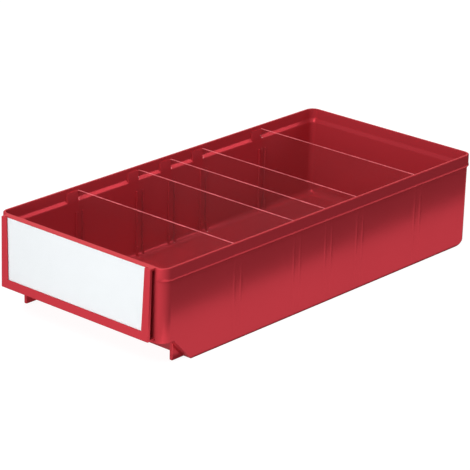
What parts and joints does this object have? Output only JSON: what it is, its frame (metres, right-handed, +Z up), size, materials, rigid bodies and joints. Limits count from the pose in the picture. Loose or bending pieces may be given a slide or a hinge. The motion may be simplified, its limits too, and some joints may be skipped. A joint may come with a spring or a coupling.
{
  "type": "stackable storage bin",
  "caption": "Long shallow open-top plastic storage bin with a stepped rim, a label plate with a card on the front, and clear lift-out dividers.",
  "frame": {"origin": "middle of the bounding box's bottom face, on the plane the bin stands on", "axes": "+Z up, -Y towards the label plate on the front, +X to the right as seen from the front"},
  "size_m": [0.1838, 0.4, 0.0844],
  "materials": {
    "red_plastic": "smooth glossy moulding, solid red",
    "clear_plastic": "clear and polished, with bright edges",
    "white_card": "blank white card"
  },
  "bodies": {
    "tray": {"tray_body": "red_plastic"},
    "divider_1": {"divider_1": "clear_plastic"},
    "divider_2": {"divider_2": "clear_plastic"},
    "divider_3": {"divider_3": "clear_plastic"},
    "divider_4": {"divider_4": "clear_plastic"},
    "divider_5": {"divider_5": "clear_plastic"},
    "card": {"label_card": "white_card"},
    "cover": {"label_cover": "clear_plastic"}
  },
  "joints": [
    {"name": "divider_1_lift", "type": "slide", "parent": "tray", "child": "divider_1", "axis": [0, 0, 1], "range_m": [0, 0.09]},
    {"name": "divider_2_lift", "type": "slide", "parent": "tray", "child": "divider_2", "axis": [0, 0, 1], "range_m": [0, 0.09]},
    {"name": "divider_3_lift", "type": "slide", "parent": "tray", "child": "divider_3", "axis": [0, 0, 1], "range_m": [0, 0.09]},
    {"name": "divider_4_lift", "type": "slide", "parent": "tray", "child": "divider_4", "axis": [0, 0, 1], "range_m": [0, 0.09]},
    {"name": "divider_5_lift", "type": "slide", "parent": "tray", "child": "divider_5", "axis": [0, 0, 1], "range_m": [0, 0.09]},
    {"name": "card_pull", "type": "slide", "parent": "tray", "child": "card", "axis": [0, 0.0239, 0.9997], "range_m": [0, 0.06]},
    {"name": "cover_pull", "type": "slide", "parent": "tray", "child": "cover", "axis": [0, 0.0239, 0.9997], "range_m": [0, 0.06]}
  ]
}
